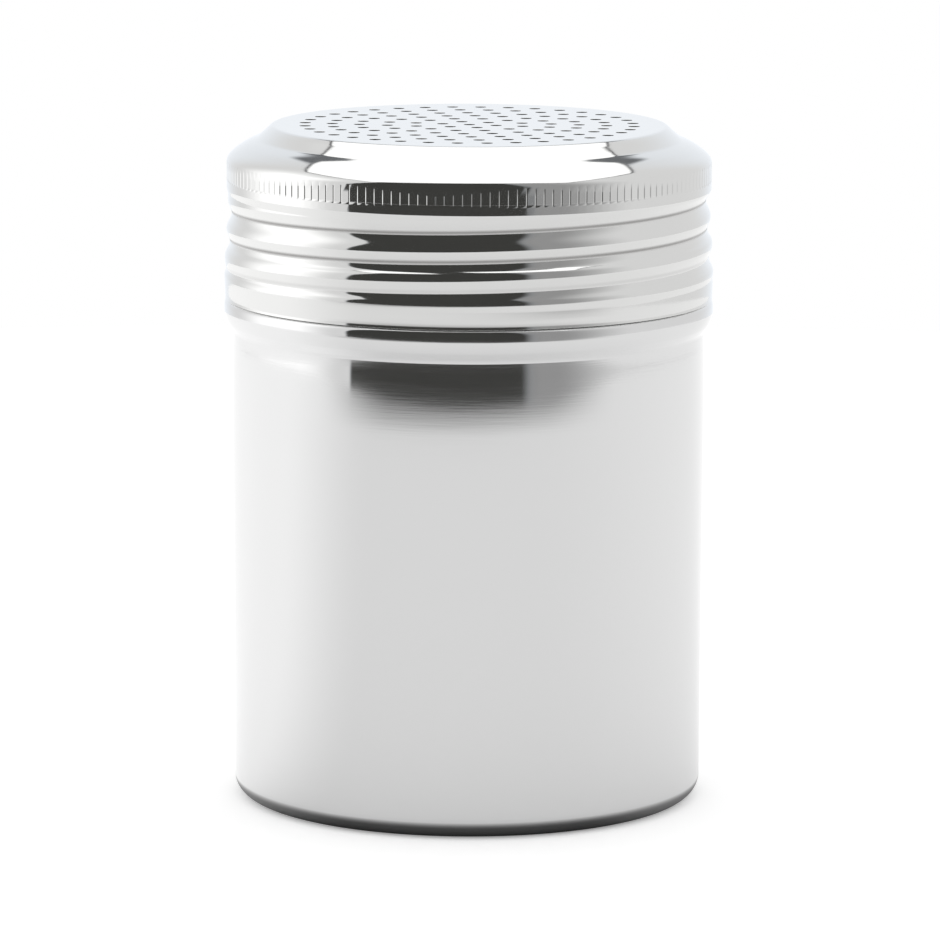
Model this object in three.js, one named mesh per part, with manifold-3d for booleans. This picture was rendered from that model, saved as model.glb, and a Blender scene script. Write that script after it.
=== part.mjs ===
// Spice shaker for a restaurant kitchen: a drawn steel cup, a perforated steel lid that screws down over the
// cup's neck, and a flat sealing washer between the cup's rim and the lid.
// Millimetres, +Z up, origin at the middle of the cup's flat base. Azimuths run anticlockwise from +X, and the
// front is -Y.

import * as THREE from "three";
import { mergeGeometries, mergeVertices } from "three/addons/utils/BufferGeometryUtils.js";
import Module from "manifold-3d";

const wasm = await Module();
wasm.setup();

const TURN = 2 * Math.PI;

// Whole shaker
const overallHeight = 97;
const fitGap = 0.3; // clearance wherever two pieces meet
const wallSides = 48; // flats round every pressed wall
const cutOverrun = 0.5; // how far a punch runs past the sheet that it cuts
const weldDistance = 1e-4;

// Lid. Its skirt is its widest place, and its levels are depths below its flat top.
const skirtRadius = 35;
const skirtHeight = 3.5; // plain wall below the thread
const lidSheet = 0.45;
const bandInset = 0.55; // how far the top of the threaded wall lies inside the skirt
const bandDrop = 1.9; // plain band between the knurl and the thread
const knurlProud = 0.25; // how far the knurl stands out from the plain band
const knurlHeight = 2.2;
const shoulderWidth = 1.6; // rounded shoulder above the knurl
const shoulderDrop = 1.95;
const shoulderArcs = 3;
const coneWidth = 3.8; // sloping wall from the step to the shoulder
const coneDrop = 2.3;
const stepWidth = 1.1; // steep edge round the flat disc
const stepDrop = 0.95;

// Thread, rolled in the lid and on the cup's neck
const threadPitch = 4.05;
const threadDepth = 0.62;
const threadZone = 11.9; // height of the threaded wall
const threadRunIn = 2; // height over which the groove grows to its full depth
const threadRunOut = 1.6; // height over which it dies away
const threadStart = THREE.MathUtils.degToRad(114.5); // where the groove would meet the top of the zone
const rowsPerPitch = 4;

// Perforations
const holeRadius = 0.78;
const holeSides = 8;
const holeMargin = 3.9; // plain sheet between the outer ring and the disc's edge
const holeRings = 6; // rings of holes round the one in the middle
const holesPerRingStep = 6; // each ring has this many holes more than the one inside it
const holeStart = THREE.MathUtils.degToRad(-74); // a radial line that every ring shares

// Knurl
const notchSpacing = 1.268;
const notchDepth = 0.24;
const notchWidth = 0.42;
const notchSides = 3;

// Sealing washer
const washerThickness = 0.8;
const washerWidth = 2.75;

// Cup
const cupSheet = 0.5;
const bodyInset = 1.15; // how far the body lies inside the stop bead
const bodyTaper = 0.2; // the radius lost between the stop bead and the base
const baseCornerRadius = 3;
const baseCornerArcs = 4;
const rimCurlRadius = 0.95;
const rimCurlArcs = 4;
const threadRise = 2.2; // height below the plain top of the neck over which the cup's ridge grows
const beadShoulderRadius = 0.6;
const beadShoulderArcs = 2;
const beadLand = 1; // upright face of the stop bead
const beadTuck = 2.7; // height in which the bead draws in to the body
const beadTuckRoundShare = 0.37; // share of the tuck that its rounding leans on
const beadTuckArcs = 3;

// Radii and levels of the lid, worked out from its sizes
const bandRadius = skirtRadius - bandInset;
const knurlRadius = bandRadius + knurlProud;
const coneRadius = knurlRadius - shoulderWidth;
const stepRadius = coneRadius - coneWidth;
const discRadius = stepRadius - stepWidth;
const coneDepth = stepDrop + coneDrop;
const knurlDepth = coneDepth + shoulderDrop;
const bandDepth = knurlDepth + knurlHeight;
const threadTop = bandDepth + bandDrop;
const threadBottom = threadTop + threadZone;
const lidHeight = threadBottom + skirtHeight;

// Levels and radii of the washer and the cup, worked out from the lid
const washerDepth = knurlDepth;
const washerOuterRadius = knurlRadius - lidSheet - fitGap;
const rimDepth = washerDepth + washerThickness + fitGap;
const beadDepth = lidHeight + fitGap;
const beadRadius = skirtRadius;
const bodyRadius = beadRadius - bodyInset;
const neckShrink = lidSheet + fitGap; // the neck lies this far inside the lid's outer face
const neckRootRadius = bandRadius - neckShrink - threadDepth;

// A ramp from 0 to 1 with soft ends.
function softRamp(share) {
  return THREE.MathUtils.smoothstep(share, 0, 1);
}

// How deep the rolled groove is at a place, as a share of its full depth: 1 on the root, 0 on the crest.
function grooveShare(azimuth, depth) {
  const turns = (depth - threadTop) / threadPitch + (azimuth - threadStart) / TURN;
  const runOut = softRamp((threadBottom - depth) / threadRunOut);
  return (0.5 + 0.5 * Math.cos(TURN * turns)) * runOut;
}

// Radius of the lid's threaded wall before the groove is rolled in: it widens from the band to the skirt.
function threadedWallRadius(depth) {
  const share = THREE.MathUtils.clamp((depth - threadTop) / threadZone, 0, 1);
  return THREE.MathUtils.lerp(bandRadius, skirtRadius, share);
}

function lidThreadRadius(azimuth, depth) {
  const runIn = softRamp((depth - threadTop) / threadRunIn);
  return threadedWallRadius(depth) - threadDepth * grooveShare(azimuth, depth) * runIn;
}

// The neck follows the inside of the lid, and its ridge starts from the plain top of the neck.
function neckThreadRadius(azimuth, depth) {
  const ridge = (1 - grooveShare(azimuth, depth)) * softRamp((depth - threadTop) / threadRise);
  return threadedWallRadius(depth) - neckShrink - threadDepth * (1 - ridge);
}

// Depths of the rows of points in the threaded zone at one column. The rows climb with the helix, so the root
// and the crest each keep a row of their own, and a row that leaves the zone is held at its edge.
function threadDepths(column) {
  const step = threadPitch / rowsPerPitch;
  const climb = rowsPerPitch * (threadStart / TURN - column / wallSides);
  const last = Math.ceil(threadZone / step) + rowsPerPitch;
  const depths = [];
  for (let row = -rowsPerPitch; row <= last; row++)
    depths.push(THREE.MathUtils.clamp(threadTop + step * (row + climb), threadTop, threadBottom));
  return depths;
}

// Points of an arc in a profile, without its first point.
function arcPoints(centreRadius, centreHeight, radius, startAngle, endAngle, steps) {
  const points = [];
  for (let step = 1; step <= steps; step++) {
    const angle = THREE.MathUtils.lerp(startAngle, endAngle, step / steps);
    points.push([centreRadius + radius * Math.cos(angle), centreHeight + radius * Math.sin(angle)]);
  }
  return points;
}

// Points of a round stretch from one profile point to another that leans on a corner, without its first point.
function roundedPoints(from, corner, to, steps) {
  const curve = new THREE.QuadraticBezierCurve(
    new THREE.Vector2(...from),
    new THREE.Vector2(...corner),
    new THREE.Vector2(...to),
  );
  return curve.getPoints(steps).slice(1).map((point) => [point.x, point.y]);
}

// The other face of a sheet: its line of points moved to the left by the thickness, with mitred corners.
function otherFace(line, thickness) {
  const apart = (a, b) => Math.hypot(b[0] - a[0], b[1] - a[1]) > weldDistance;
  const leftNormal = (a, b) => {
    const length = Math.hypot(b[0] - a[0], b[1] - a[1]);
    return [(a[1] - b[1]) / length, (b[0] - a[0]) / length];
  };
  return line.map((point, index) => {
    const before = line.slice(0, index).findLast((other) => apart(other, point));
    const after = line.slice(index + 1).find((other) => apart(other, point));
    const normalIn = before ? leftNormal(before, point) : leftNormal(point, after);
    const normalOut = after ? leftNormal(point, after) : normalIn;
    const mitre = thickness / (1 + normalIn[0] * normalOut[0] + normalIn[1] * normalOut[1]);
    return [
      point[0] + mitre * (normalIn[0] + normalOut[0]),
      point[1] + mitre * (normalIn[1] + normalOut[1]),
    ];
  });
}

// Turns a closed mesh into a solid that can be joined and cut.
function solidOf(geometry) {
  const bare = new THREE.BufferGeometry();
  bare.setAttribute("position", geometry.getAttribute("position"));
  bare.setIndex(geometry.index);
  const merged = mergeVertices(bare, weldDistance);
  const corners = merged.index.array;
  const triVerts = [];
  for (let i = 0; i < corners.length; i += 3) {
    const [a, b, c] = [corners[i], corners[i + 1], corners[i + 2]];
    if (a !== b && b !== c && c !== a) triVerts.push(a, b, c);
  }
  const mesh = new wasm.Mesh({
    numProp: 3,
    vertProperties: merged.getAttribute("position").array,
    triVerts: new Uint32Array(triVerts),
  });
  return new wasm.Manifold(mesh);
}

function geometryOf(solid) {
  const { vertProperties, triVerts } = solid.getMesh();
  const geometry = new THREE.BufferGeometry();
  geometry.setAttribute("position", new THREE.BufferAttribute(vertProperties, 3));
  geometry.setIndex(new THREE.BufferAttribute(triVerts, 1));
  const faceted = geometry.toNonIndexed();
  faceted.computeVertexNormals();
  return faceted;
}

// Sweeps a section round the axis. sectionAt gives it for a column, anticlockwise from the axis to the axis.
function sweptShell(sectionAt) {
  const positions = [];
  const indices = [];
  let points = 0;
  for (let column = 0; column <= wallSides; column++) {
    const azimuth = (TURN * (column % wallSides)) / wallSides;
    const section = sectionAt(column, azimuth);
    points = section.length;
    for (const [radius, height] of section)
      positions.push(radius * Math.cos(azimuth), radius * Math.sin(azimuth), height);
  }
  for (let column = 0; column < wallSides; column++)
    for (let point = 0; point < points - 1; point++) {
      const here = column * points + point;
      const next = here + points;
      indices.push(here, next, next + 1, here, next + 1, here + 1);
    }
  const geometry = new THREE.BufferGeometry();
  geometry.setAttribute("position", new THREE.Float32BufferAttribute(positions, 3));
  geometry.setIndex(indices);
  return solidOf(geometry);
}

// Screw lid: one pressed sheet, from the perforated disc over the shoulder to the skirt's cut edge.
function lidSection(column, azimuth) {
  const coneEnd = [coneRadius, -coneDepth];
  const shoulderCorner = [knurlRadius, -coneDepth - (coneDrop / coneWidth) * shoulderWidth];
  const outer = [
    [0, 0],
    [discRadius, 0],
    [stepRadius, -stepDrop],
    coneEnd,
    ...roundedPoints(coneEnd, shoulderCorner, [knurlRadius, -knurlDepth], shoulderArcs),
    [knurlRadius, -bandDepth],
    ...threadDepths(column).map((depth) => [lidThreadRadius(azimuth, depth), -depth]),
    [skirtRadius, -lidHeight],
  ];
  return [...otherFace(outer, -lidSheet), ...outer.reverse()];
}

// One punch for each hole: one in the middle, then the rings, evenly spaced out to the margin.
function holePunches() {
  const ringSpacing = (discRadius - holeMargin - holeRadius) / holeRings;
  const punchHeight = lidSheet + 2 * cutOverrun;
  const punches = [];
  for (let ring = 0; ring <= holeRings; ring++) {
    const count = Math.max(1, holesPerRingStep * ring);
    for (let hole = 0; hole < count; hole++) {
      const azimuth = holeStart + (TURN * hole) / count;
      const radius = ring * ringSpacing;
      const punch = new THREE.CylinderGeometry(holeRadius, holeRadius, punchHeight, holeSides);
      punch.rotateX(TURN / 4);
      punch.translate(radius * Math.cos(azimuth), radius * Math.sin(azimuth), -lidSheet / 2);
      punches.push(punch);
    }
  }
  return punches;
}

// One wedge for each notch of the knurl: deepest at the top, and running out at its lower end.
function knurlWedges() {
  const count = Math.round((TURN * knurlRadius) / notchSpacing);
  const proud = notchDepth / 2; // how far the wedge's middle stands off the wall
  const wedges = [];
  for (let notch = 0; notch < count; notch++) {
    const wedge = new THREE.CylinderGeometry(proud, notchDepth + proud, knurlHeight, notchSides);
    wedge.scale(notchWidth / notchDepth, 1, 1);
    wedge.rotateX(-TURN / 4);
    wedge.translate(0, -knurlRadius - proud, -knurlDepth - knurlHeight / 2);
    wedge.rotateZ((TURN * notch) / count);
    wedges.push(wedge);
  }
  return wedges;
}

function screwLid() {
  return sweptShell(lidSection)
    .subtract(solidOf(mergeGeometries(holePunches())))
    .subtract(solidOf(mergeGeometries(knurlWedges())));
}

// Cup: one drawn sheet, from the flat base up the body, over the stop bead and the threaded neck to the curl.
function cupSection(column, azimuth) {
  const level = (depth) => overallHeight - depth;
  const baseFlatRadius = bodyRadius - bodyTaper - baseCornerRadius;
  const neckFootRadius = skirtRadius - neckShrink;
  const beadTopRadius = beadRadius - beadShoulderRadius;
  const shoulderLevel = level(beadDepth + beadShoulderRadius);
  const landEnd = [beadRadius, shoulderLevel - beadLand];
  const tuckEnd = [bodyRadius, landEnd[1] - beadTuck];
  const tuckCorner = [beadRadius, landEnd[1] - beadTuck * beadTuckRoundShare];
  const curlLevel = level(rimDepth + rimCurlRadius);
  const outer = [
    [0, 0],
    [baseFlatRadius, 0],
    ...arcPoints(baseFlatRadius, baseCornerRadius, baseCornerRadius, -TURN / 4, 0, baseCornerArcs),
    tuckEnd,
    ...roundedPoints(tuckEnd, tuckCorner, landEnd, beadTuckArcs),
    [beadRadius, shoulderLevel],
    ...arcPoints(beadTopRadius, shoulderLevel, beadShoulderRadius, 0, TURN / 4, beadShoulderArcs),
    [neckFootRadius, level(beadDepth)],
    ...threadDepths(column)
      .map((depth) => [neckThreadRadius(azimuth, depth), level(depth)])
      .reverse(),
    [neckRootRadius, curlLevel],
    ...arcPoints(neckRootRadius - rimCurlRadius, curlLevel, rimCurlRadius, 0, TURN / 2, rimCurlArcs),
  ];
  return [...outer, ...otherFace(outer, cupSheet).reverse()];
}

// Sealing washer: a flat ring that lies on the rim, inside the knurled band.
function sealingWasher() {
  const innerRadius = washerOuterRadius - washerWidth;
  const section = [
    new THREE.Vector2(innerRadius, 0),
    new THREE.Vector2(washerOuterRadius, 0),
    new THREE.Vector2(washerOuterRadius, washerThickness),
    new THREE.Vector2(innerRadius, washerThickness),
    new THREE.Vector2(innerRadius, 0),
  ];
  return new THREE.LatheGeometry(section, wallSides).rotateX(TURN / 4);
}

// Finishes
const satinSteel = { color: 0xd6d6d3, metalness: 1, roughness: 0.34 };
const polishedSteel = { color: 0xdedddb, metalness: 1, roughness: 0.1 };
const whiteRubber = { color: 0xe9e7e1, metalness: 0, roughness: 0.6 };

function namedMesh(name, geometry, finish, height) {
  const mesh = new THREE.Mesh(geometry, new THREE.MeshStandardMaterial(finish));
  mesh.name = name;
  mesh.position.z = height;
  return mesh;
}

const shaker = new THREE.Group();
const lidAssembly = new THREE.Group();
lidAssembly.position.z = overallHeight;
lidAssembly.add(namedMesh("screw_lid", geometryOf(screwLid()), polishedSteel, 0));
lidAssembly.add(namedMesh("lid_seal_washer", sealingWasher(), whiteRubber, -washerDepth - washerThickness));
shaker.add(namedMesh("cup", geometryOf(sweptShell(cupSection)), satinSteel, 0));
shaker.add(lidAssembly);

export default shaker;
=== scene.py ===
"""Stainless steel spice shaker: a drawn cup, a perforated screw lid and the sealing washer between them.

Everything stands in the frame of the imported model, in metres: origin in the middle of the cup's flat base,
+Z up, the front towards -Y. Sizes are written in millimetres times MM. Azimuths run anticlockwise from +X,
but those of the light tent and the table run from the front, positive to the right.
"""

import logging
import math
from collections.abc import Callable, Iterator
from contextlib import contextmanager
from dataclasses import dataclass, field
from enum import Enum

import bmesh
import bpy
from mathutils import Matrix, Vector


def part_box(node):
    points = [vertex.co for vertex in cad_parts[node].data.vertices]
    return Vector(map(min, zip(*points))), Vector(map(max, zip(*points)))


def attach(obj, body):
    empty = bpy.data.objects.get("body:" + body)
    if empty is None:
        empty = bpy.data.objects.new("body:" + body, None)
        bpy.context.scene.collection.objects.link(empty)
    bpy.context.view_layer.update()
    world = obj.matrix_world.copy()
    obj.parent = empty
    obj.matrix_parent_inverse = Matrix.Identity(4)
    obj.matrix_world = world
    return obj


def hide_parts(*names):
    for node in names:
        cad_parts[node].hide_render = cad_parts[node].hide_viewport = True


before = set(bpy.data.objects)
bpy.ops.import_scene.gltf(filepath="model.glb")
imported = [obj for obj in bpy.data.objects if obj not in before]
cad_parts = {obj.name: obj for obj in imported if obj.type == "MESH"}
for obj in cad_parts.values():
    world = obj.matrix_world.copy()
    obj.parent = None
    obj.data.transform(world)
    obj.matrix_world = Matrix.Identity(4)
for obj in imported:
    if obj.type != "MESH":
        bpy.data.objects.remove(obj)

MM = 0.001
TURN = 2 * math.pi
WELD = 0.001 * MM  # points nearer to each other than this become one
SMOOTH_STEEL = math.radians(38)  # the steel is shaded smooth over folds flatter than this
SMOOTH_RUBBER = math.radians(40)
LARGE_FACE_WEIGHT = 60
NOISE_RANGE = (0.3, 0.7)  # nearly all of a noise lies between these
WHITE = (1.0, 1.0, 1.0, 1.0)
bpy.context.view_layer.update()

log = logging.getLogger("shaker")

Point = tuple[float, float]
Span = tuple[float, float]
Piece = bpy.types.Object
Edge = bmesh.types.BMEdge
Face = bmesh.types.BMFace
Tree = bpy.types.NodeTree
Socket = bpy.types.NodeSocket
Input = float | tuple[float, ...] | Socket


class Body(Enum):
    """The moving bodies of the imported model."""

    CUP = "cup"
    SEAL = "seal"
    LID = "lid"


class Pick(Enum):
    """What a selection in edit mode is made of."""

    EDGES = "EDGE"
    FACES = "FACE"


class TentAxes(Enum):
    """The two coordinates in which a zone of the light tent is laid out."""

    ROUND_AND_UP = "azimuth from the front and elevation, in degrees"
    PLAN = "x and y on a ceiling one unit up"


def softened(share: float) -> float:
    """A ramp from 0 to 1 with soft ends."""
    share = min(max(share, 0.0), 1.0)
    return share * share * (3 - 2 * share)


def gained(share: float, steep: float) -> float:
    """A ramp from 0 to 1 that is flat at its ends and as steep as wanted in its middle."""
    share = min(max(share, 0.0), 1.0)
    return share**steep / (share**steep + (1 - share) ** steep)


def rounded(start: Point, corner: Point, end: Point, steps: int) -> list[Point]:
    """Points of a round stretch that leans on a corner.

    Args:
        start: the point before the stretch, which is left out.
        corner: where the two straight stretches would meet.
        end: the last point.
        steps: how many points are made.

    Returns:
        The points after start, up to end.
    """
    points = []
    for step in range(1, steps + 1):
        t = step / steps
        weights = ((1 - t) ** 2, 2 * t * (1 - t), t**2)
        radius, depth = (sum(w * p[i] for w, p in zip(weights, (start, corner, end))) for i in range(2))
        points.append((radius, depth))
    return points


def arc(centre: Point, radius: float, start: float, end: float, steps: int) -> list[Point]:
    """Points of an arc in a profile, without its first. An angle of 0 points outwards and TURN / 4 up."""
    angles = [start + (end - start) * step / steps for step in range(1, steps + 1)]
    return [(centre[0] + radius * math.cos(a), centre[1] - radius * math.sin(a)) for a in angles]


def level_points(radius_at: Callable[[float], float], depths: Span, step: float) -> list[Point]:
    """Points of a profile at even depths, no more than a step apart, without the first."""
    top, drop = depths[0], depths[1] - depths[0]
    count = math.ceil(drop / step)
    levels = [top + drop * index / count for index in range(1, count + 1)]
    return [(radius_at(level), level) for level in levels]


def deselect_all() -> None:
    """Leaves nothing selected, so that an operator acts only on the new piece."""
    if bpy.context.object and bpy.context.object.mode != "OBJECT":
        bpy.ops.object.mode_set(mode="OBJECT")
    bpy.ops.object.select_all(action="DESELECT")


def take_up(piece: Piece) -> None:
    """Makes a piece the only one selected, and the active one."""
    deselect_all()
    piece.select_set(True)
    bpy.context.view_layer.objects.active = piece


@contextmanager
def editing(piece: Piece) -> Iterator[None]:
    """Keeps a piece in edit mode for as long as the block runs."""
    take_up(piece)
    bpy.ops.object.mode_set(mode="EDIT")
    yield
    bpy.ops.object.mode_set(mode="OBJECT")


def pick(piece: Piece, what: Pick, test: Callable[[Edge | Face], bool]) -> int:
    """Selects edges or faces of a piece in edit mode by their place.

    Args:
        piece: the piece that is being edited.
        what: edges or faces.
        test: says of one edge or face whether it is picked.

    Returns:
        How many were picked.
    """
    bpy.ops.mesh.select_mode(type=what.value)
    bpy.ops.mesh.select_all(action="DESELECT")
    mesh = bmesh.from_edit_mesh(piece.data)
    items = mesh.edges if what is Pick.EDGES else mesh.faces
    chosen = [item for item in items if test(item)]
    for item in chosen:
        item.select_set(True)
    bmesh.update_edit_mesh(piece.data)
    return len(chosen)


def draw_wall(top: float, profile: list[Point], start: Point) -> None:
    """Draws a wall ring by ring from the loop of edges that is selected in edit mode.

    Args:
        top: height of the level from which depths are measured.
        profile: the rings as (radius, depth).
        start: radius and depth of the loop.
    """
    radius, depth = start
    for next_radius, next_depth in profile:
        drop = (0, 0, depth - next_depth)
        bpy.ops.mesh.extrude_region_move(TRANSFORM_OT_translate={"value": drop})
        scale = next_radius / radius
        bpy.ops.transform.resize(value=(scale, scale, 1), center_override=(0, 0, top - next_depth))
        radius, depth = next_radius, next_depth


def close_surface() -> None:
    """Joins the points of the piece in edit mode that lie on one another, and turns its faces outwards."""
    bpy.ops.mesh.select_all(action="SELECT")
    bpy.ops.mesh.remove_doubles(threshold=WELD)
    bpy.ops.mesh.normals_make_consistent(inside=False)


def put_on(piece: Piece, kind: str, **settings: object) -> None:
    """Adds a modifier to the active piece and applies it.

    Args:
        piece: the active piece.
        kind: the modifier's type.
        settings: its settings by name.
    """
    bpy.ops.object.modifier_add(type=kind)
    modifier = piece.modifiers[-1]
    for name, value in settings.items():
        setattr(modifier, name, value)
    bpy.ops.object.modifier_apply(modifier=modifier.name)


def thicken(piece: Piece, sheet: float) -> None:
    """Gives a drawn surface the thickness of its sheet, inwards."""
    take_up(piece)
    put_on(piece, "SOLIDIFY", thickness=sheet, offset=-1, use_even_offset=True, use_quality_normals=True)


def even_shading(piece: Piece) -> None:
    """Lets the large faces lead the shading of the small ones beside them."""
    put_on(piece, "WEIGHTED_NORMAL", keep_sharp=True, weight=LARGE_FACE_WEIGHT)


def settle(piece: Piece) -> None:
    """Puts the object at the origin, unturned and unscaled, with its place in its mesh."""
    take_up(piece)
    bpy.ops.object.transform_apply(location=True, rotation=True, scale=True)


def reshape(piece: Piece, move: Callable[[float, float, float], Vector | None]) -> None:
    """Moves the points of a piece by a rule.

    Args:
        piece: the piece, in object mode.
        move: takes azimuth, radius and height, and gives the new place, or None to leave the point.
    """
    for point in piece.data.vertices:
        x, y, z = point.co
        place = move(math.atan2(y, x), math.hypot(x, y), z)
        if place is not None:
            point.co = place


def on_circle(azimuth: float, radius: float, height: float) -> Vector:
    """The point at an azimuth, a radius from the axis and a height."""
    return Vector((radius * math.cos(azimuth), radius * math.sin(azimuth), height))


@dataclass(frozen=True)
class Thread:
    """The right-hand thread that is rolled in the lid and on the cup's neck.

    Depths run down from the lid's top.
    """

    top: float = 9.3 * MM
    height: float = 13.0 * MM
    pitch: float = 4.05 * MM
    groove: float = 0.622 * MM
    start: float = math.radians(107.6)
    crest_phase: float = 0.581  # from the groove's bottom to the crest below it, in turns
    flank: float = 1.87  # steepness of the flank below the groove
    fall: float = 1.20  # steepness of the flank above it
    bite: float = 3.7  # how much steeper the lower flank is where the roll bit deepest
    bite_depth: float = 16.65 * MM
    bite_reach: float = 0.6 * MM
    lead: float = 0.490  # how early the last turn comes, in turns
    lead_depth: float = 20.01 * MM
    lead_reach: float = 2.02 * MM
    first: float = 9.51 * MM  # depth of the groove's bottom where it starts
    run_in: float = 0.30 * MM  # how far it goes down before it is fully deep
    last: float = 22.07 * MM  # depth of the groove's bottom where it ends
    run_out: float = 3.74 * MM
    widening: float = 0.561 * MM  # the wall widens from the thread's top to the skirt
    widening_reach: float = 12.6 * MM
    skirt_top: float = 21.5 * MM
    skirt_taper: float = 0.04  # the skirt draws in again by this share of the depth
    shoulder_top: float = 8.9 * MM  # a small shoulder leads from the knurled band to the wall
    shoulder_radius: float = 34.645 * MM
    shoulder_reach: float = 0.95 * MM
    row: float = 0.3 * MM

    @property
    def bottom(self) -> float:
        """Depth at which the threaded wall ends."""
        return self.top + self.height

    def groove_share(self, azimuth: float, depth: float) -> float:
        """How deep the groove is at a place.

        Args:
            azimuth: direction of the place.
            depth: its depth below the lid's top.

        Returns:
            1 on the root, 0 on the crest.
        """
        turns = (depth - self.top) / self.pitch + (azimuth - self.start) / TURN
        turns += self.lead * softened((depth - self.lead_depth) / self.lead_reach)
        root = math.floor(turns)
        phase = turns - root
        if phase < self.crest_phase:
            steep = self.flank + self.bite * math.exp(-(((depth - self.bite_depth) / self.bite_reach) ** 2))
            share = gained(1 - phase / self.crest_phase, steep)
        else:
            share = gained((phase - self.crest_phase) / (1 - self.crest_phase), self.fall)
            root += 1
        root_depth = depth + (root - turns) * self.pitch
        started = softened((root_depth - self.first) / self.run_in)
        return share * started * softened((self.last - root_depth) / self.run_out)

    def wall(self, depth: float, skirt_radius: float) -> float:
        """Radius of the lid's wall before the groove is rolled in.

        Args:
            depth: a depth below the lid's top.
            skirt_radius: the skirt's outer radius.

        Returns:
            The radius at that depth.
        """
        narrow = skirt_radius - self.widening
        below = depth - self.shoulder_top
        wide = skirt_radius - self.widening * (1 - softened(below / self.widening_reach))
        step = (self.shoulder_radius - narrow) * (1 - softened(below / self.shoulder_reach))
        return wide + step - self.skirt_taper * max(depth - self.skirt_top, 0)


def linear(code: str, strength: float = 1.0) -> tuple[float, float, float, float]:
    """The linear RGBA colour of an sRGB value such as #d8d8d6, times the strength of a light."""
    channels = [int(code[i : i + 2], 16) / 255 for i in (1, 3, 5)]
    red, green, blue = (c / 12.92 if c <= 0.04045 else ((c + 0.055) / 1.055) ** 2.4 for c in channels)
    return red * strength, green * strength, blue * strength, 1.0


def add_node(
    tree: Tree, kind: str, inputs: dict[str | int, Input] | None = None, **settings: object
) -> bpy.types.Node:
    """Adds a node with its settings and inputs.

    Args:
        tree: the node tree of a material or of the world.
        kind: the node's type.
        inputs: a value or another node's output for each named or numbered input.
        settings: the node's own settings.

    Returns:
        The new node.
    """
    node = tree.nodes.new(kind)
    for name, value in settings.items():
        setattr(node, name, value)
    for name, value in (inputs or {}).items():
        if isinstance(value, Socket):
            tree.links.new(value, node.inputs[name])
        else:
            node.inputs[name].default_value = value
    return node


def calc(tree: Tree, operation: str, *values: Input) -> Socket:
    """The result of a sum with one, two or three numbers."""
    return add_node(tree, "ShaderNodeMath", dict(enumerate(values)), operation=operation).outputs[0]


def vector_calc(tree: Tree, operation: str, *vectors: Input) -> Socket:
    """The result of a sum with vectors, which is a vector or a number."""
    node = add_node(tree, "ShaderNodeVectorMath", dict(enumerate(vectors)), operation=operation)
    return next(out for out in node.outputs if out.enabled)


def mixed(tree: Tree, share: Input, first: Input, second: Input, kind: str = "FLOAT") -> Socket:
    """The first value where the share is 0 and the second where it is 1. Colours are of the kind RGBA."""
    inputs = {"Factor": share, "A": first, "B": second}
    return add_node(tree, "ShaderNodeMix", inputs, data_type=kind).outputs["Result"]


def ramp(
    tree: Tree, value: Input, limits: Span, ends: tuple[Input, Input] = (0.0, 1.0), kind: str = "SMOOTHSTEP"
) -> Socket:
    """A ramp that runs from one end to the other while a value runs between two limits."""
    names = ("Value", "From Min", "From Max", "To Min", "To Max")
    inputs = dict(zip(names, (value, *limits, *ends)))
    return add_node(tree, "ShaderNodeMapRange", inputs, interpolation_type=kind).outputs[0]


def noise(tree: Tree, place: Input, grain: float, detail: float, roughness: float = 0.5) -> Socket:
    """A noise with its grains about this far apart."""
    inputs = {"Vector": place, "Scale": 1 / grain, "Detail": detail, "Roughness": roughness}
    return add_node(tree, "ShaderNodeTexNoise", inputs).outputs[0]


def bump(tree: Tree, pattern: Input, height: float, **under: Input) -> Socket:
    """The normal of a surface on which a pattern stands this high."""
    inputs = {"Strength": 1.0, "Distance": height, "Height": pattern, **under}
    return add_node(tree, "ShaderNodeBump", inputs).outputs[0]


def from_front(tree: Tree, x: Input, y: Input) -> Socket:
    """Azimuth from the front, positive to the right, in radians."""
    return calc(tree, "ARCTAN2", x, calc(tree, "MULTIPLY", y, -1.0))


def bare_tree(holder: bpy.types.Material | bpy.types.World) -> Tree:
    """Gives a material or the world an empty node tree."""
    holder.use_nodes = True
    holder.node_tree.nodes.clear()
    return holder.node_tree


@dataclass(frozen=True)
class Finish:
    """The look of a piece, worked out from the place on the piece itself."""

    name: str
    colour: str
    roughness: float

    def _inputs(self, tree: Tree, place: Input) -> dict[str, Input]:
        """What the shader takes at a place."""
        return {"Base Color": linear(self.colour), "Roughness": self.roughness}

    def material(self) -> bpy.types.Material:
        """The finish as a node material."""
        material = bpy.data.materials.new(self.name)
        tree = bare_tree(material)
        place = add_node(tree, "ShaderNodeTexCoord").outputs["Object"]
        shader = add_node(tree, "ShaderNodeBsdfPrincipled", self._inputs(tree, place))
        add_node(tree, "ShaderNodeOutputMaterial", {"Surface": shader.outputs[0]})
        return material


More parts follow.
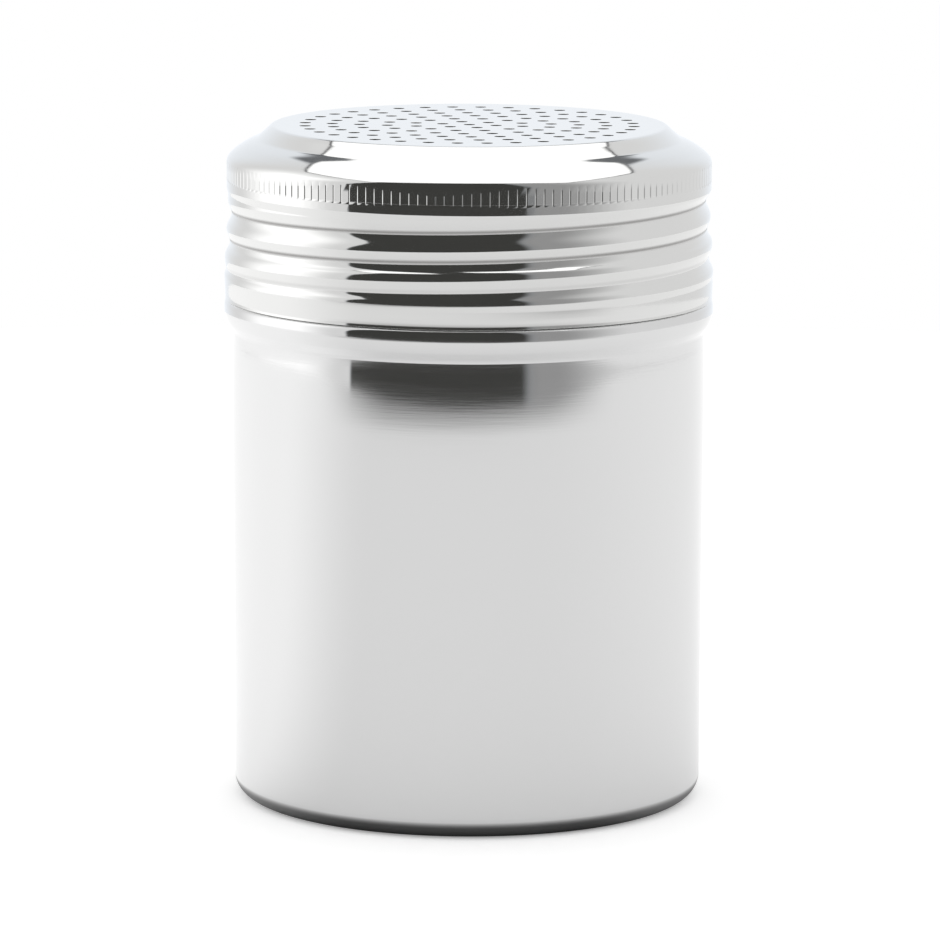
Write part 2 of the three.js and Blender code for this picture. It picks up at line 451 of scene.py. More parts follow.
@dataclass(frozen=True)
class BuffedSteel(Finish):
    """Stainless steel sheet, drawn to shape and buffed while it turns on its axis.

    The wheel leaves hair lines that run round the axis: rings on a flat face, level lines on a wall. They
    smear a reflection up and down into short streaks and hardly touch it sideways.
    """

    anisotropy: float
    line_spacing: float  # between the hair lines
    line_length: float  # how far a line runs round before it fades
    line_height: float  # how high the lines stand
    ripple_height: float  # how far the drawn sheet is from true, over a few centimetres
    ripple_length: float = 22 * MM
    patchiness: float = 0.15  # how much rougher or smoother the lines are than the rest
    smear_turn: float = 0.25  # in turns: the smear runs across the lines

    def _inputs(self, tree: Tree, place: Input) -> dict[str, Input]:
        """What the shader takes. The hair lines follow the height and the radius.

        Args:
            tree: the material's node tree.
            place: the place on the piece.

        Returns:
            The shader's inputs by name.
        """
        x, y, z = add_node(tree, "ShaderNodeSeparateXYZ", {0: place}).outputs
        flat = add_node(tree, "ShaderNodeCombineXYZ", {"X": x, "Y": y}).outputs[0]
        along = calc(tree, "SUBTRACT", z, vector_calc(tree, "LENGTH", flat))
        seen = add_node(tree, "ShaderNodeCombineXYZ", {"X": x, "Y": y, "Z": along}).outputs[0]
        fine = (1 / self.line_length, 1 / self.line_length, 1 / self.line_spacing)
        lines = noise(tree, vector_calc(tree, "MULTIPLY", seen, fine), 1.0, 3.0, roughness=0.6)
        hair = bump(tree, lines, self.line_height)
        ripple = noise(tree, place, self.ripple_length, 1.0)
        smooth, rough = (self.roughness * (1 + side * self.patchiness) for side in (-1, 1))
        tangent = add_node(tree, "ShaderNodeTangent", direction_type="RADIAL", axis="Z")
        return super()._inputs(tree, place) | {
            "Metallic": 1.0,
            "Roughness": ramp(tree, lines, NOISE_RANGE, (smooth, rough), "LINEAR"),
            "Anisotropic": self.anisotropy,
            "Anisotropic Rotation": self.smear_turn,
            "Tangent": tangent.outputs[0],
            "Normal": bump(tree, ripple, self.ripple_height, Normal=hair),
        }


@dataclass(frozen=True)
class PolishedThreadSteel(BuffedSteel):
    """The same steel on the lid, with painted shade along the root of the rolled thread.

    A darker, rougher line is painted along the root as the shade deep in the groove. It fades where the
    groove runs out above the skirt.
    """

    thread: Thread = Thread()
    lid_top: float = 97.0 * MM
    # painted shade: the colour of the thread's root where the groove lies in shade
    root_shade_colour: str = "#9a9998"
    root_roughness: float = 0.3
    root_reach: float = 0.11  # half the line's width, in turns of the thread
    root_rise: float = 0.07  # how far it lies above the deepest place, in turns
    root_start: Span = (9.5 * MM, 10.1 * MM)  # depths between which the line sets in
    root_fade: Span = (15.8 * MM, 19.0 * MM)  # depths between which it fades
    root_left: float = 0.2  # what is left of it below that
    root_end: float = 1 * MM  # height over which it ends where the groove does

    def _inputs(self, tree: Tree, place: Input) -> dict[str, Input]:
        """What the shader takes, with the painted shade along the root.

        Args:
            tree: the material's node tree.
            place: the place on the lid.

        Returns:
            The shader's inputs by name.
        """
        inputs = super()._inputs(tree, place)
        x, y, z = add_node(tree, "ShaderNodeSeparateXYZ", {0: place}).outputs
        thread, depth = self.thread, calc(tree, "SUBTRACT", self.lid_top, z)
        phase_at_zero = self.root_rise - thread.top / thread.pitch - thread.start / TURN
        fallen = calc(tree, "MULTIPLY_ADD", depth, 1 / thread.pitch, phase_at_zero)
        turns = calc(tree, "MULTIPLY_ADD", calc(tree, "ARCTAN2", y, x), 1 / TURN, fallen)
        away = calc(tree, "PINGPONG", turns, 0.5)
        share: Input = 1.0
        for value, limits, ends in (
            (away, (self.root_reach, 0.0), (0.0, 1.0)),
            (depth, self.root_start, (0.0, 1.0)),
            (depth, self.root_fade, (1.0, self.root_left)),
            (depth, (thread.last - self.root_end, thread.last), (1.0, 0.0)),
        ):
            share = calc(tree, "MULTIPLY", share, ramp(tree, value, limits, ends))
        # painted shade: the root is coloured darker where the groove lies in shade
        painted_root_shade = linear(self.root_shade_colour)
        inputs["Base Color"] = mixed(tree, share, inputs["Base Color"], painted_root_shade, "RGBA")
        inputs["Roughness"] = mixed(tree, share, inputs["Roughness"], self.root_roughness)
        return inputs


@dataclass(frozen=True)
class MouldedRubber(Finish):
    """White silicone rubber, moulded: matt, with the faint tooth of the mould."""

    name: str = "white_silicone_rubber_moulded"
    colour: str = "#e9e7e1"
    roughness: float = 0.55
    ior: float = 1.41
    grain: float = 0.4 * MM
    grain_height: float = 0.01 * MM

    def _inputs(self, tree: Tree, place: Input) -> dict[str, Input]:
        """What the shader takes at a place."""
        tooth = bump(tree, noise(tree, place, self.grain, 2.0), self.grain_height)
        return super()._inputs(tree, place) | {"IOR": self.ior, "Normal": tooth}


# AISI 304 sheet, drawn, then buffed on the lathe: nearly a mirror, with lines that smear it up and down.
BUFFED_CUP_STEEL = BuffedSteel(
    name="stainless_steel_drawn_and_satin_buffed",
    colour="#dadada",
    roughness=0.055,
    anisotropy=0.4,
    line_spacing=0.25 * MM,
    line_length=9 * MM,
    line_height=0.0008 * MM,
    ripple_height=0.01 * MM,
)

# AISI 304 sheet, pressed, punched and polished: a clear mirror with faint rings, and painted shade, darker
# and rougher, in the thread's root.
POLISHED_LID_STEEL = PolishedThreadSteel(
    name="stainless_steel_pressed_and_polished",
    colour="#dbdbda",
    roughness=0.07,
    anisotropy=0.3,
    line_spacing=0.3 * MM,
    line_length=14 * MM,
    line_height=0.0003 * MM,
    ripple_height=0.01 * MM,
)


@dataclass
class ScrewLid:
    """The pressed lid: punched disc, step, sloping wall, rounded shoulder, knurl, rolled thread and skirt.

    Points of its profile are (radius, depth below its top).
    """

    thread: Thread
    finish: Finish = POLISHED_LID_STEEL
    top: float = field(default_factory=lambda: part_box("screw_lid")[1][2])
    skirt_radius: float = field(default_factory=lambda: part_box("screw_lid")[1][0])
    height: float = field(default_factory=lambda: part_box("screw_lid")[1][2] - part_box("screw_lid")[0][2])
    sheet: float = 0.45 * MM
    slack: float = 0.02 * MM  # points this near to a level or a line count as on it

    blank: float = 0.9 * MM  # the block whose top face becomes the sieve
    sieve_radius: float = 26.4 * MM  # the flat middle that takes the holes
    disc_radius: float = 27.5 * MM
    disc_edge: Point = (28.2 * MM, 0)
    disc_edge_reach: float = 0.4 * MM  # how far inside its edge the disc starts to bend
    step_start: Point = (28.43 * MM, 0.2 * MM)
    step_middle: Point = (29.26 * MM, 0.97 * MM)
    step_foot: Point = (30.06 * MM, 1.67 * MM)
    crease: Point = (30.32 * MM, 1.9 * MM)
    slope_start: Point = (30.6 * MM, 2.01 * MM)
    slope_middle: Point = (32.0 * MM, 2.56 * MM)
    slope_end: Point = (32.86 * MM, 3.17 * MM)
    shoulder_corner: Point = (34.645 * MM, 4.3 * MM)
    knurl_radius: float = 34.645 * MM
    knurl_top: float = 5.12 * MM
    knurl_bottom: float = 7.75 * MM
    ledge: float = 0.004 * MM  # the knurling wheel leaves a fine ridge low on its mark
    ledge_depth: float = 7.35 * MM
    ledge_half_height: float = 0.05 * MM
    band_end: float = 0.07 * MM  # height of the last ring of the plain band
    lip: tuple[Point, ...] = (  # how far the skirt draws in towards its cut edge, and how high above the edge
        (0.08 * MM, 1.5 * MM),
        (0.105 * MM, 0.95 * MM),
        (0.125 * MM, 0.45 * MM),
        (0.125 * MM, 0.2 * MM),
        (0.11 * MM, 0),
    )

    punch_length: float = 3.6 * MM
    hole_radius: float = 0.84 * MM
    cut_edge: float = 0.03 * MM  # how far the edges of the holes and the skirt are broken
    cut_angle: float = math.radians(70)  # folds sharper than this are cut edges
    hole_sides: int = 16
    hole_rings: int = 6
    ring_spacing: float = 3.92 * MM
    holes_per_ring_step: int = 6
    hole_start: float = math.radians(-74)

    notches: int = 172
    notch_depth: float = 0.047 * MM
    notch_width: float = 0.24 * MM
    notch_end: float = 0.07 * MM  # how fast a notch runs out below
    notch_slack: float = 0.05 * MM
    notch_angle: float = math.radians(8)  # upright folds sharper than this belong to a notch
    columns_per_notch: int = 3

    @property
    def columns(self) -> int:
        """Flats round the lid's wall."""
        return self.notches * self.columns_per_notch

    @property
    def sieve_reach(self) -> float:
        """A radius between the outermost holes and the sieve's edge."""
        return self.sieve_radius - self.ring_spacing / 4

    def build(self) -> Piece:
        """Makes the lid as it is made from sheet: punched, drawn, knurled, threaded and trimmed.

        Returns:
            The finished piece.
        """
        lid = self._punched_disc()
        self._draw_side(lid)
        self._roll_knurl_and_thread(lid)
        thicken(lid, self.sheet)
        self._break_edges(lid)
        bpy.ops.object.shade_smooth_by_angle(angle=SMOOTH_STEEL)
        self._crisp_notches(lid)
        even_shading(lid)
        lid.name = "perforated_screw_lid"
        return lid

    def _punches(self) -> Piece:
        """One punch in the middle, then rings of them, joined to one tool."""
        deselect_all()
        middle = (0, 0, self.top)
        bpy.ops.mesh.primitive_cylinder_add(
            vertices=self.hole_sides, radius=self.hole_radius, depth=self.punch_length, location=middle
        )
        first = bpy.context.object
        punches = [first]
        for ring in range(1, self.hole_rings + 1):
            count = self.holes_per_ring_step * ring
            for hole in range(count):
                azimuth = self.hole_start + TURN * hole / count
                punch = first.copy()
                punch.data = first.data.copy()
                punch.location = on_circle(azimuth, ring * self.ring_spacing, self.top)
                bpy.context.collection.objects.link(punch)
                punches.append(punch)
        for punch in punches:
            punch.select_set(True)
        bpy.ops.object.join()
        settle(first)
        return first

    def _punched_disc(self) -> Piece:
        """The flat middle of the lid as one face of sheet with its holes."""
        punches = self._punches()
        deselect_all()
        middle = (0, 0, self.top - self.blank / 2)
        bpy.ops.mesh.primitive_cylinder_add(
            vertices=self.columns, radius=self.sieve_radius, depth=self.blank, location=middle
        )
        disc = bpy.context.object
        settle(disc)
        put_on(disc, "BOOLEAN", operation="DIFFERENCE", object=punches, solver="EXACT")
        bpy.data.objects.remove(punches)
        level = self.top - self.blank / 4
        with editing(disc):
            pick(disc, Pick.FACES, lambda face: face.calc_center_median().z < level)
            bpy.ops.mesh.delete(type="FACE")
        return disc

    def _profile(self) -> list[Point]:
        """The outer face from the sieve's edge down to the skirt's cut edge."""
        disc_end = (self.disc_edge[0] - self.disc_edge_reach, 0)
        points = [(self.disc_radius, 0), disc_end]
        for start, corner, end, steps in (
            (disc_end, self.disc_edge, self.step_start, 4),
            (self.step_start, self.step_middle, self.step_foot, 3),
            (self.step_foot, self.crease, self.slope_start, 4),
            (self.slope_start, self.slope_middle, self.slope_end, 5),
            (self.slope_end, self.shoulder_corner, (self.knurl_radius, self.knurl_top), 9),
        ):
            points += rounded(start, corner, end, steps)
        band = (
            (self.knurl_top + self.ledge_depth) / 2,
            self.ledge_depth - self.ledge_half_height,
            self.ledge_depth,
            self.ledge_depth + self.ledge_half_height,
            self.knurl_bottom,
            self.knurl_bottom + self.notch_end,
            self.thread.shoulder_top - self.band_end,
            self.thread.shoulder_top,
        )
        points += [(self.knurl_radius + self.ledge * (depth == self.ledge_depth), depth) for depth in band]
        threaded = (self.thread.shoulder_top, self.thread.bottom)
        points += level_points(
            lambda depth: self.thread.wall(depth, self.skirt_radius), threaded, self.thread.row
        )
        return points + [(self.skirt_radius - inset, self.height - rise) for inset, rise in self.lip]

    def _draw_side(self, lid: Piece) -> None:
        """Draws the side of the lid down from the edge of the punched disc.

        Args:
            lid: the punched disc.
        """

        def is_rim(edge: Edge) -> bool:
            """Whether this edge lies on the disc's outline."""
            return edge.is_boundary and all(v.co.xy.length > self.sieve_reach for v in edge.verts)

        with editing(lid):
            log.info("lid: %d edges round the punched disc", pick(lid, Pick.EDGES, is_rim))
            draw_wall(self.top, self._profile(), (self.sieve_radius, 0))
            close_surface()

    def _roll_knurl_and_thread(self, lid: Piece) -> None:
        """Presses the knurl's notches and rolls the thread's groove into the drawn side.

        Args:
            lid: the drawn lid.
        """
        thread = self.thread

        def rolled(azimuth: float, radius: float, height: float) -> Vector | None:
            """The new place of a point, or None for a point that stays."""
            depth = self.top - height
            if self.knurl_top - self.slack < depth < self.knurl_bottom + self.notch_end + self.slack:
                return self._knurled(azimuth, radius, height)
            if depth > thread.shoulder_top + self.slack:
                radius -= thread.groove * thread.groove_share(azimuth, depth)
                return on_circle(azimuth, radius, height)
            return None

        reshape(lid, rolled)

    def _knurled(self, azimuth: float, radius: float, height: float) -> Vector:
        """The place of a point of the knurl: each third column is the bottom of a notch.

        Args:
            azimuth: direction of the point before the knurl is pressed.
            radius: its distance from the axis.
            height: its height.

        Returns:
            The point's new place.
        """
        column = round(azimuth / TURN * self.columns)
        part = column % self.columns_per_notch - 1
        middle = (column - part) * TURN / self.columns
        half_width = self.notch_width / 2 / self.knurl_radius
        if part == 0 and self.top - height < self.knurl_bottom + self.slack:
            radius -= self.notch_depth
        return on_circle(middle + part * half_width, radius, height)

    def _crisp_notches(self, lid: Piece) -> None:
        """Keeps the notches' edges and bottoms crisp, which are too blunt for the smoothing angle.

        Args:
            lid: the lid.
        """
        high = self.top - self.knurl_top + self.notch_slack
        low = self.top - self.knurl_bottom - self.notch_slack

        def is_notch_line(edge: Edge) -> bool:
            """Whether this is an upright line of a notch."""
            a, b = (v.co for v in edge.verts)
            is_upright = (a - b).xy.length < self.slack and low < min(a.z, b.z) and max(a.z, b.z) < high
            return is_upright and edge.calc_face_angle(0) > self.notch_angle

        with editing(lid):
            log.info("lid: %d notch lines kept crisp", pick(lid, Pick.EDGES, is_notch_line))
            bpy.ops.mesh.mark_sharp()

    def _break_edges(self, lid: Piece) -> None:
        """Rounds the edges of the holes and the skirt's cut edge.

        Args:
            lid: the lid.
        """
        low = self.top - self.height + self.sheet / 2

        def is_cut_edge(edge: Edge) -> bool:
            """Whether two faces meet squarely here, in the sieve or at the skirt's end."""
            inside = all(v.co.xy.length < self.sieve_reach for v in edge.verts)
            below = all(v.co.z < low for v in edge.verts)
            return (inside or below) and edge.is_manifold and edge.calc_face_angle() > self.cut_angle

        with editing(lid):
            log.info("lid: %d cut edges broken", pick(lid, Pick.EDGES, is_cut_edge))
            bpy.ops.mesh.bevel(offset=self.cut_edge, segments=1, affect="EDGES", clamp_overlap=True)


@dataclass
class SealingWasher:
    """The flat ring that lies between the cup's rim and the lid."""

    finish: Finish = MouldedRubber()
    low: Vector = field(default_factory=lambda: Vector(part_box("lid_seal_washer")[0]))
    high: Vector = field(default_factory=lambda: Vector(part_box("lid_seal_washer")[1]))
    width: float = 2.75 * MM
    edge: float = 0.15 * MM
    edge_steps: int = 3
    steps: int = 144

    def build(self) -> Piece:
        """Spins the ring's section round the axis.

        Returns:
            The finished piece.
        """
        deselect_all()
        middle = (self.high.x - self.width / 2, 0, (self.high.z + self.low.z) / 2)
        bpy.ops.mesh.primitive_plane_add(size=1, location=middle, rotation=(TURN / 4, 0, 0))
        washer = bpy.context.object
        washer.scale = (self.width, self.high.z - self.low.z, 1)
        settle(washer)
        with editing(washer):
            bpy.ops.mesh.select_all(action="SELECT")
            bpy.ops.mesh.bevel(offset=self.edge, segments=self.edge_steps, affect="VERTICES")
            bpy.ops.mesh.select_all(action="SELECT")
            bpy.ops.mesh.delete(type="ONLY_FACE")
            bpy.ops.mesh.select_all(action="SELECT")
            bpy.ops.mesh.spin(steps=self.steps, angle=TURN, center=(0, 0, 0), axis=(0, 0, 1))
            close_surface()
        bpy.ops.object.shade_smooth_by_angle(angle=SMOOTH_RUBBER)
        washer.name = "sealing_washer"
        return washer


@dataclass
class DrawnCup:
    """The drawn cup: flat base, straight body, stop bead, threaded neck and curled rim.

    Points of its profile are (radius, depth below the lid's top).
    """

    thread: Thread
    lid: ScrewLid
    finish: Finish = BUFFED_CUP_STEEL
    rim_height: float = field(default_factory=lambda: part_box("cup")[1][2])
    bead_radius: float = field(default_factory=lambda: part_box("cup")[1][0])
    sheet: float = 0.5 * MM
    columns: int = 256
    gap: float = 0.3 * MM  # clearance between the threads
    stop_gap: float = 0.06 * MM  # clearance between the lid's edge and the bead

    base_ring: float = 1 * MM  # width of the outermost ring of the flat base
    base_corner: float = 3.0 * MM
    base_corner_steps: int = 12
    foot_radius: float = 33.65 * MM
    body_radius: float = 33.88 * MM
    body_radius_depth: float = 40 * MM
    body_steps: int = 6
    waist_radius: float = 33.76 * MM  # the bead draws the body in a little just below itself
    waist_depth: float = 29.6 * MM
    waist_reach: float = 5 * MM
    bead_shoulder: Point = (0.7 * MM, 1.1 * MM)
    bead_land_end: float = 26.4 * MM
    bead_corner: Point = (35.0 * MM, 27.3 * MM)
    bead_slope_start: Point = (34.55 * MM, 28.2 * MM)
    bead_slope_end: Point = (33.95 * MM, 29.05 * MM)
    bead_foot: Point = (33.8 * MM, 29.3 * MM)
    thread_rise: float = 2.2 * MM  # height over which the neck's ridge grows
    curl: float = 0.95 * MM
    curl_steps: int = 10

    def build(self) -> Piece:
        """Draws the cup up from its base, rolls the neck's thread and gives the sheet its thickness.

        Returns:
            The finished piece.
        """
        deselect_all()
        top = self.lid.top
        flat = self.foot_radius - self.base_corner
        middle = flat - self.base_ring
        bpy.ops.mesh.primitive_circle_add(
            vertices=self.columns, radius=middle, fill_type="NGON", location=(0, 0, 0)
        )
        cup = bpy.context.object
        with editing(cup):
            pick(cup, Pick.EDGES, lambda edge: edge.is_boundary)
            draw_wall(top, [(flat, top), *self._profile()], (middle, top))
            close_surface()
        self._roll_neck(cup)
        thicken(cup, self.sheet)
        bpy.ops.object.shade_smooth_by_angle(angle=SMOOTH_STEEL)
        even_shading(cup)
        cup.name = "drawn_cup"
        return cup

    def _neck(self, depth: float) -> float:
        """Radius of the neck's crests at a depth, inside the lid's wall."""
        return self.thread.wall(depth, self.lid.skirt_radius) - (self.lid.sheet + self.gap)

    def _profile(self) -> list[Point]:
        """The outer face from the base's edge up to the curled rim."""
        base, corner = self.lid.top, self.base_corner
        middle = (self.foot_radius - corner, base - corner)
        points = arc(middle, corner, -TURN / 4, 0, self.base_corner_steps)
        for step in range(1, self.body_steps + 1):
            share = step / self.body_steps
            radius = self.foot_radius + (self.body_radius - self.foot_radius) * share
            points.append((radius, middle[1] + (self.body_radius_depth - middle[1]) * share))
        bead_top = self.lid.height + self.stop_gap
        land_start = (self.bead_radius, bead_top + self.bead_shoulder[1])
        body = (self.body_radius, self.body_radius_depth)
        body_corner = (self.body_radius, self.waist_depth + self.waist_reach)
        waist = (self.waist_radius, self.waist_depth)
        points += rounded(body, body_corner, waist, 6)
        points += rounded(waist, self.bead_foot, self.bead_slope_end, 4)
        points += [self.bead_slope_start]
        points += rounded(self.bead_slope_start, self.bead_corner, (self.bead_radius, self.bead_land_end), 8)
        points += [land_start]
        shoulder_end = (self.bead_radius - self.bead_shoulder[0], bead_top)
        points += rounded(land_start, (self.bead_radius, bead_top), shoulder_end, 6)
        points += [(self._neck(self.thread.bottom), bead_top)]
        thread = self.thread
        points += reversed(level_points(self._neck, (thread.top - thread.row, thread.bottom), thread.row))
        root = self._neck(thread.top) - thread.groove
        curl_depth = self.lid.top - self.rim_height + self.curl
        points += [(root, curl_depth)]
        return points + arc((root - self.curl, curl_depth), self.curl, 0, TURN / 2, self.curl_steps)

    def _roll_neck(self, cup: Piece) -> None:
        """Rolls the thread into the neck, so that it follows the inside of the lid.

        Args:
            cup: the drawn cup.
        """
        thread = self.thread

        def rolled(azimuth: float, radius: float, height: float) -> Vector | None:
            """The new place of a point, or None for a point that stays."""
            depth = self.lid.top - height
            if depth > thread.bottom + thread.row / 2 or depth < thread.top - thread.row / 2:
                return None
            risen = softened((depth - thread.top) / self.thread_rise)
            ridge = (1 - thread.groove_share(azimuth, depth)) * risen
            return on_circle(azimuth, self._neck(depth) - thread.groove * (1 - ridge), height)

        reshape(cup, rolled)


@dataclass(frozen=True)
class TentZone:
    """One patch of the light tent that stands round the shaker.

    Its limits are in the two coordinates of its axes, and each has a softness, half the width of its blur.
    """

    what: str
    colour: str
    strength: float
    across: Span
    up: Span
    across_soft: Span = (2, 2)
    up_soft: Span = (2, 2)
    axes: TentAxes = TentAxes.ROUND_AND_UP
    cut: float | None = None  # cuts the far corners off, where cut_slope * |x| + y passes this
    cut_slope: float = 1.5


FULL_HEIGHT: Span = (-95, 100)  # elevations that take in all of a wall


@dataclass
class LightTent:
    """A white tent with an opening for the camera, as the polished steel mirrors it.

    The camera and matt surfaces see plain white.
    """

    white: str = "#f6faff"
    strength: float = 1.06
    horizon: float = 0.001  # directions lower than this meet the ceiling far off
    zones: tuple[TentZone, ...] = (
        TentZone("left wall", "#ffffff", 0.9, (-152, -59), FULL_HEIGHT, (12, 1)),
        TentZone("bright left panel", "#ffffff", 1.5, (-124, -78), (-95, 44), (16, 14), (2, 10)),
        TentZone("right wall", "#ffffff", 0.9, (40, 150), FULL_HEIGHT, (5, 15)),
        TentZone("grey room beside the camera", "#a6a6a6", 1.0, (29, 64), FULL_HEIGHT, (5, 22)),
        TentZone("opening for the camera", "#444442", 1.0, (-59, 30), FULL_HEIGHT, (1, 5)),
        TentZone("dark gap round the soft box", "#3a3a3c", 1.0, (-0.74, 0.73), (-0.39, 1.05),
                 (0.015, 0.015), (0.015, 0.02), TentAxes.PLAN, cut=1.7),
        TentZone("grey ceiling behind it", "#77797c", 1.0, (-0.53, 0.53), (0.6, 1.42),
                 (0.04, 0.04), (0.02, 0.14), TentAxes.PLAN),
        TentZone("overhead soft box", "#ffffff", 1.5, (-0.715, 0.705), (-0.36, 1.015),
                 (0.015, 0.015), (0.015, 0.02), TentAxes.PLAN, cut=1.65),
    )

    def build(self) -> None:
        """Sets the world up."""
        world = bpy.data.worlds.new("light_tent")
        bpy.context.scene.world = world
        tree = bare_tree(world)
        direction = add_node(tree, "ShaderNodeTexCoord").outputs["Generated"]
        x, y, z = add_node(tree, "ShaderNodeSeparateXYZ", {0: direction}).outputs
        up = calc(tree, "MAXIMUM", z, self.horizon)
        turned, raised = from_front(tree, x, y), calc(tree, "ARCSINE", z)
        coordinates = {
            TentAxes.ROUND_AND_UP: [calc(tree, "DEGREES", angle) for angle in (turned, raised)],
            TentAxes.PLAN: [calc(tree, "DIVIDE", side, up) for side in (x, y)],
        }
        seen: Input = linear(self.white, self.strength)
        for zone in self.zones:
            seen = self._painted(tree, zone, coordinates[zone.axes], seen)
        ray = add_node(tree, "ShaderNodeLightPath").outputs
        colour = mixed(tree, ray["Is Glossy Ray"], WHITE, seen, "RGBA")
        background = add_node(tree, "ShaderNodeBackground", {"Color": colour, "Strength": 1.0})
        add_node(tree, "ShaderNodeOutputWorld", {"Surface": background.outputs[0]})

    def _painted(self, tree: Tree, zone: TentZone, places: list[Socket], under: Input) -> Socket:
        """Paints one zone over what lies under it.

        Args:
            tree: the world's node tree.
            zone: the zone.
            places: the two coordinates in which it is laid out.
            under: the colour so far.

        Returns:
            The colour with the zone.
        """
        edges = []
        limits = zip(places, (zone.across, zone.up), (zone.across_soft, zone.up_soft))
        for place, (low, high), (low_soft, high_soft) in limits:
            edges += [(place, low - low_soft, low + low_soft), (place, high + high_soft, high - high_soft)]
        if zone.cut is not None:
            corner = calc(tree, "MULTIPLY_ADD", calc(tree, "ABSOLUTE", places[0]), zone.cut_slope, places[1])
            edges.append((corner, zone.cut + zone.up_soft[1], zone.cut - zone.up_soft[1]))
        mask: Input = 1.0
        for place, outside, inside in edges:
            mask = calc(tree, "MULTIPLY", mask, ramp(tree, place, (outside, inside)))
        colour = mixed(tree, mask, under, linear(zone.colour, zone.strength), "RGBA")
        colour.node.label = zone.what
        return colour


@dataclass
class OvalTable:
    """The pale oval table top that the shaker stands on. Its shaded rim shows in the steel."""

    half_width: float = 0.55
    half_depth: float = 0.475
    thickness: float = 0.01
    sides: int = 180
    colour: str = "#f4f4f4"
    camera_lift: float = 0.28  # brings the table up to white for the camera
    # painted light: for the steel the table glows, more to the left, to the right and behind
    lift: float = 0.05  # the same in the steel, to the front
    left_lift: float = 0.32
    right_lift: float = 0.16
    left_range: Span = (-45, -98)  # azimuths from the front between which the lift grows
    right_range: Span = (25, 130)
    back_lift: float = 0.22  # behind, where the two sides meet
    back_range: Span = (125, 172)
    rim_range: Span = (0.36, 0.5)  # the table's rim lies in shade
    rim_shade: float = 0.3  # to the front only
    rim_reach: Span = (35, 75)  # azimuths from the front between which the shade fades
    rim_squeeze: float = 0.93  # the rim is an oval, and its middle lies a little to the right
    rim_shift: float = 0.015
    contact_range: Span = (33.6 * MM, 38 * MM)  # a painted contact shadow round the shaker's foot, which only the steel sees, mirrored in its rounded base
    contact_shade: float = 0.12
    contact_shade_beside: float = 0.32
    beside_range: Span = (0.5, 1.0)  # sines of the azimuths over which the front turns to the side

    def build(self) -> Piece:
        """Makes the table top and its material.

        Returns:
            The table top.
        """
        deselect_all()
        middle = (0, 0, -self.thickness / 2)
        bpy.ops.mesh.primitive_cylinder_add(
            vertices=self.sides, radius=1, depth=self.thickness, location=middle
        )
        table = bpy.context.object
        table.scale = (self.half_width, self.half_depth, 1)
        settle(table)
        table.name = "table_top"
        table.data.materials.append(self._material())
        return table

    def _mirrored(self, tree: Tree) -> tuple[Socket, Socket]:
        """How the steel sees the table.

        Args:
            tree: the node tree of the table's material.

        Returns:
            The share of its own shade, and the light that is added.
        """
        place = add_node(tree, "ShaderNodeTexCoord").outputs["Object"]
        x, y, _ = add_node(tree, "ShaderNodeSeparateXYZ", {0: place}).outputs
        turned = from_front(tree, x, y)
        azimuth = calc(tree, "DEGREES", turned)
        aside = calc(tree, "ABSOLUTE", azimuth)
        beside = calc(tree, "ABSOLUTE", calc(tree, "SINE", turned))
        # painted contact shadow for the steel only: darker to the front than beside
        foot_shadow = ramp(tree, beside, self.beside_range, (self.contact_shade, self.contact_shade_beside))
        clear = ramp(tree, vector_calc(tree, "LENGTH", place), self.contact_range, (foot_shadow, 1.0))
        squeeze, shift = (self.rim_squeeze, 1.0, 1.0), (-self.rim_shift, 0.0, 0.0)
        out = vector_calc(tree, "LENGTH", vector_calc(tree, "MULTIPLY_ADD", place, squeeze, shift))
        rim_shade = ramp(tree, aside, self.rim_reach, (self.rim_shade, 1.0))
        share = calc(tree, "MULTIPLY", clear, ramp(tree, out, self.rim_range, (1.0, rim_shade)))
        left = ramp(tree, azimuth, self.left_range, (self.lift, self.left_lift))
        right = ramp(tree, azimuth, self.right_range, (0.0, self.right_lift - self.lift))
        lift = ramp(tree, aside, self.back_range, (calc(tree, "ADD", left, right), self.back_lift))
        return share, calc(tree, "MULTIPLY", lift, share)

    def _material(self) -> bpy.types.Material:
        """Matt white laminate that keeps the shaker's shadow. For the steel it also glows with painted light
        and carries a painted shaded rim and contact shadow.
        """
        material = bpy.data.materials.new("table_white_laminate")
        tree = bare_tree(material)
        ray = add_node(tree, "ShaderNodeLightPath").outputs
        share, lift = self._mirrored(tree)
        to_steel = ray["Is Glossy Ray"]
        seen = calc(tree, "MAXIMUM", ray["Is Camera Ray"], to_steel)
        seen = calc(tree, "MAXIMUM", seen, ray["Is Transmission Ray"])
        strength = calc(tree, "MULTIPLY", seen, mixed(tree, to_steel, self.camera_lift, lift))
        glow = add_node(tree, "ShaderNodeEmission", {"Color": WHITE, "Strength": strength})
        shaded = {0: linear(self.colour)[:3], "Scale": mixed(tree, to_steel, 1.0, share)}
        tint = add_node(tree, "ShaderNodeVectorMath", shaded, operation="SCALE")
        matt = add_node(tree, "ShaderNodeBsdfDiffuse", {"Color": tint.outputs[0]})
        both = add_node(tree, "ShaderNodeAddShader", {0: matt.outputs[0], 1: glow.outputs[0]})
        add_node(tree, "ShaderNodeOutputMaterial", {"Surface": both.outputs[0]})
        return material


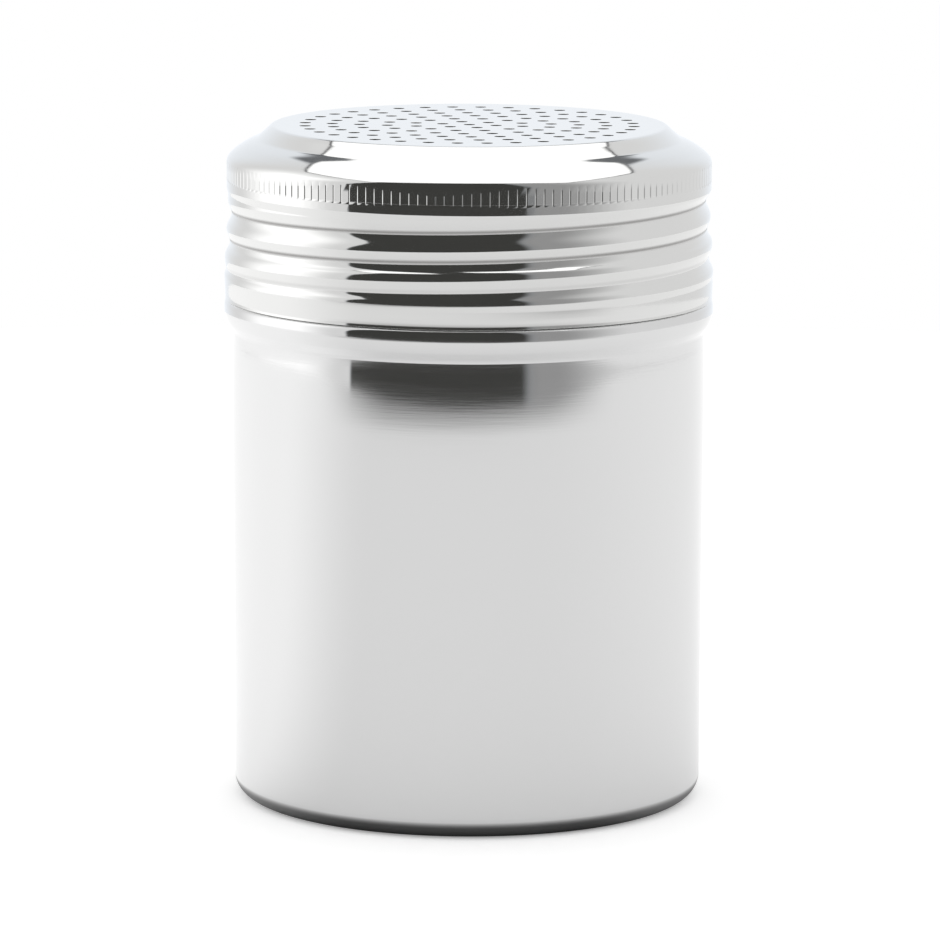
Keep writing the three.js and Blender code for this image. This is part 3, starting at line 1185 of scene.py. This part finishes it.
@dataclass
class PhotoCamera:
    """The camera as it was fitted to the photograph's hole pattern and outline."""

    image_side: float = 941  # the longer side of the photograph, in pixels
    focal_pixels: float = 6151.9
    sensor: float = 36.0
    distance: float = 879.5 * MM  # from the middle of the lid's top
    elevation: float = math.radians(6.2846)
    pitch: float = math.radians(9.504)
    roll: float = math.radians(0.24)
    yaw: float = math.radians(0.019)

    def build(self, lid_top: float) -> None:
        """Adds the camera and makes it the scene's own.

        Args:
            lid_top: height of the lid's top.
        """
        data = bpy.data.cameras.new("photo_camera")
        data.sensor_width = self.sensor
        data.lens = self.focal_pixels * self.sensor / self.image_side
        camera = bpy.data.objects.new("photo_camera", data)
        away, up = self.distance * math.cos(self.elevation), self.distance * math.sin(self.elevation)
        turn = (
            Matrix.Rotation(-self.yaw, 4, "Z")
            @ Matrix.Rotation(TURN / 4 - self.pitch, 4, "X")
            @ Matrix.Rotation(self.roll, 4, "Z")
        )
        camera.matrix_world = Matrix.Translation((0, -away, up + lid_top)) @ turn
        bpy.context.collection.objects.link(camera)
        bpy.context.scene.camera = camera


def hand_over(piece: Piece, body: Body, finish: Finish) -> None:
    """Dresses a finished piece and lets it move with its body.

    Args:
        piece: the piece.
        body: the body that carries it.
        finish: its finish.
    """
    piece.data.materials.clear()
    piece.data.materials.append(finish.material())
    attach(piece, body.value)
    faces = len(piece.data.polygons)
    log.info("%s: %d faces, rides on %s, %s", piece.name, faces, body.value, finish.name)


def main() -> None:
    """Builds the shaker, its table, its light and its camera."""
    logging.basicConfig(level=logging.INFO, format="%(name)s: %(message)s")
    bpy.context.scene.view_settings.view_transform = "Standard"
    thread = Thread()
    lid = ScrewLid(thread)
    cup = DrawnCup(thread, lid)
    washer = SealingWasher()

    drawn_cup = cup.build()
    hand_over(drawn_cup, Body.CUP, cup.finish)
    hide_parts("cup")

    sealing_washer = washer.build()
    hand_over(sealing_washer, Body.SEAL, washer.finish)
    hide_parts("lid_seal_washer")

    screw_lid = lid.build()
    hand_over(screw_lid, Body.LID, lid.finish)
    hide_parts("screw_lid")

    OvalTable().build()
    LightTent().build()
    PhotoCamera().build(lid.top)
    deselect_all()


if __name__ == "__main__":
    main()
